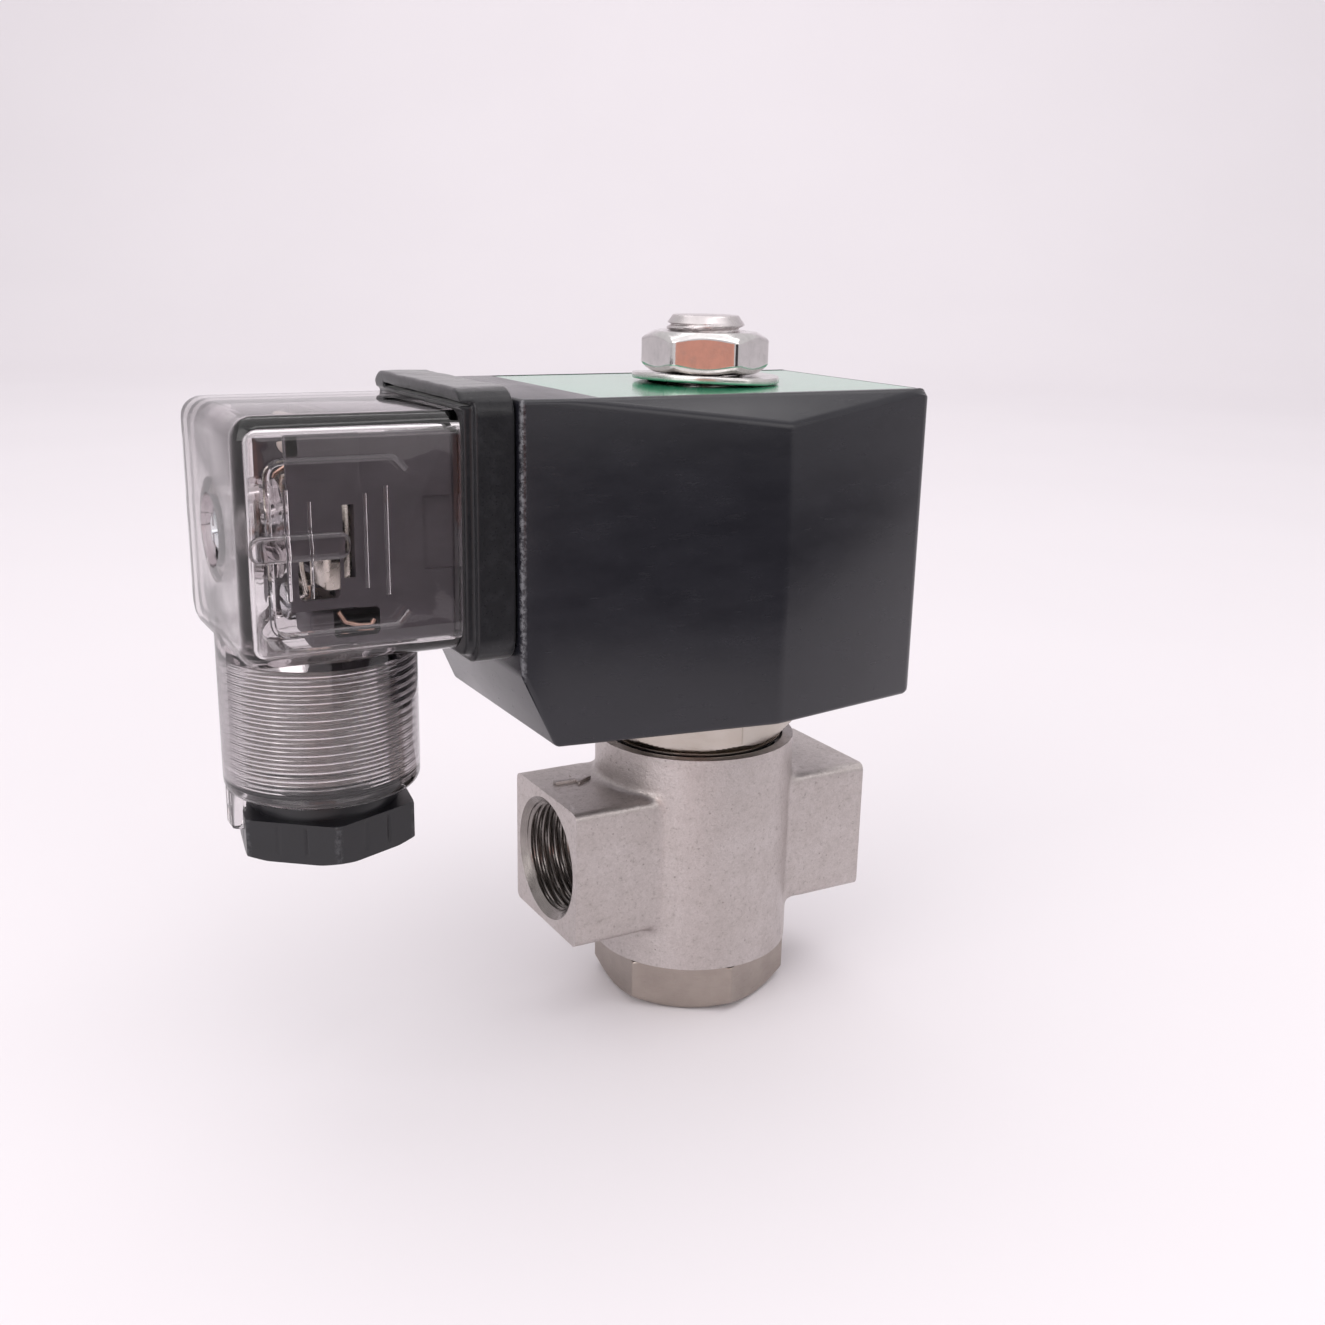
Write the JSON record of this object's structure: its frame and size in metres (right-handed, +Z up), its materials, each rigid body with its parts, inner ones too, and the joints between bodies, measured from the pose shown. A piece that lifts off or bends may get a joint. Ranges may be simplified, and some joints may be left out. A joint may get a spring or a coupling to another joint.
{
  "type": "solenoid valve",
  "caption": "Two-port direct-acting solenoid valve: stainless body, hexagon plug, moulded coil on a stud, clear plug-on cable connector with gland.",
  "frame": {"origin": "centre of the bottom plug's lower face, on the armature tube's axis", "axes": "+Z up along the armature tube, +X from the connector towards the far port, +Y across the coil"},
  "size_m": [0.0895, 0.0416, 0.0943],
  "materials": {
    "cast_stainless": "blasted cast stainless steel",
    "turned_stainless": "satin turned stainless steel",
    "bright_steel": "polished stainless steel",
    "magnetic_steel": "ground ferritic steel",
    "spring_steel": "drawn spring wire",
    "zinc_steel": "bright zinc plate",
    "copper": "enamelled copper",
    "brass": "turned brass",
    "tinned_brass": "tin plate on brass",
    "coil_plastic": "semi-gloss moulded",
    "bobbin_plastic": "moulded",
    "block_plastic": "glass-filled moulding",
    "gland_plastic": "semi-gloss moulded",
    "smoked_plastic": "smoked clear polycarbonate",
    "led_plastic": "clear red",
    "circuit_board": "lacquered laminate",
    "resistor": "lacquered ceramic",
    "label_green": "printed polyester film",
    "black_rubber": "moulded rubber",
    "seal_rubber": "seal rubber"
  },
  "bodies": {
    "valve": {"valve_body": "cast_stainless", "bottom_plug": "turned_stainless", "plug_oring": "seal_rubber", "tube_hex": "turned_stainless", "tube_oring": "seal_rubber", "armature_tube": "turned_stainless", "fixed_core": "bright_steel", "shading_ring": "copper", "return_spring": "spring_steel", "top_washer": "bright_steel", "top_nut": "bright_steel"},
    "plunger": {"plunger": "magnetic_steel", "plunger_seal": "seal_rubber"},
    "coil": {"coil_encapsulation": "coil_plastic", "coil_bobbin": "bobbin_plastic", "coil_winding": "copper", "yoke_frame": "magnetic_steel", "yoke_bottom_plate": "magnetic_steel", "spade_line": "tinned_brass", "spade_neutral": "tinned_brass", "spade_earth": "tinned_brass", "screw_insert": "brass", "coil_label": "label_green", "connector_gasket": "black_rubber"},
    "connector": {"connector_housing": "smoked_plastic", "terminal_block": "block_plastic", "contact_clip_line": "tinned_brass", "contact_clip_neutral": "tinned_brass", "contact_clip_earth": "tinned_brass", "terminal_screw_line": "zinc_steel", "terminal_screw_neutral": "zinc_steel", "terminal_screw_earth": "zinc_steel", "indicator_board": "circuit_board", "indicator_led": "led_plastic", "indicator_resistor": "resistor"},
    "screw_washer": {"screw_seal": "seal_rubber"},
    "centre_screw": {"centre_screw": "zinc_steel"},
    "gland_seal": {"gland_washer": "gland_plastic", "gland_grommet": "black_rubber"},
    "gland_nut": {"gland_nut": "gland_plastic"}
  },
  "joints": [
    {"name": "plunger_lift", "type": "slide", "parent": "valve", "child": "plunger", "axis": [0, 0, 1], "range_m": [0, 0.0015], "stiffness_N_per_m": 400, "springref_m": -0.006, "deforming": ["return_spring"]},
    {"name": "coil_swivel", "type": "hinge", "parent": "valve", "child": "coil", "pos_m": [0, 0, 0.0442], "axis": [0, 0, 1], "continuous": true},
    {"name": "connector_pull", "type": "slide", "parent": "coil", "child": "connector", "axis": [-1, 0, 0], "range_m": [0, 0.014]},
    {"name": "screw_travel", "type": "slide", "parent": "connector", "child": "screw_washer", "axis": [-1, 0, 0], "range_m": [0, 0.0065]},
    {"name": "screw_turn", "type": "hinge", "parent": "screw_washer", "child": "centre_screw", "pos_m": [-0.06, 0, 0.0705], "axis": [-1, 0, 0], "range_deg": [0, 4690]},
    {"name": "gland_travel", "type": "slide", "parent": "connector", "child": "gland_seal", "axis": [0, 0, -1], "range_m": [0, 0.00225]},
    {"name": "gland_turn", "type": "hinge", "parent": "gland_seal", "child": "gland_nut", "pos_m": [-0.053, 0, 0.0316], "axis": [0, 0, -1], "range_deg": [0, 545]}
  ],
  "couplings": [
    {"joint": "screw_turn", "follows": "screw_travel", "rad_per_m": 12566},
    {"joint": "gland_turn", "follows": "gland_travel", "rad_per_m": 4188.8}
  ]
}
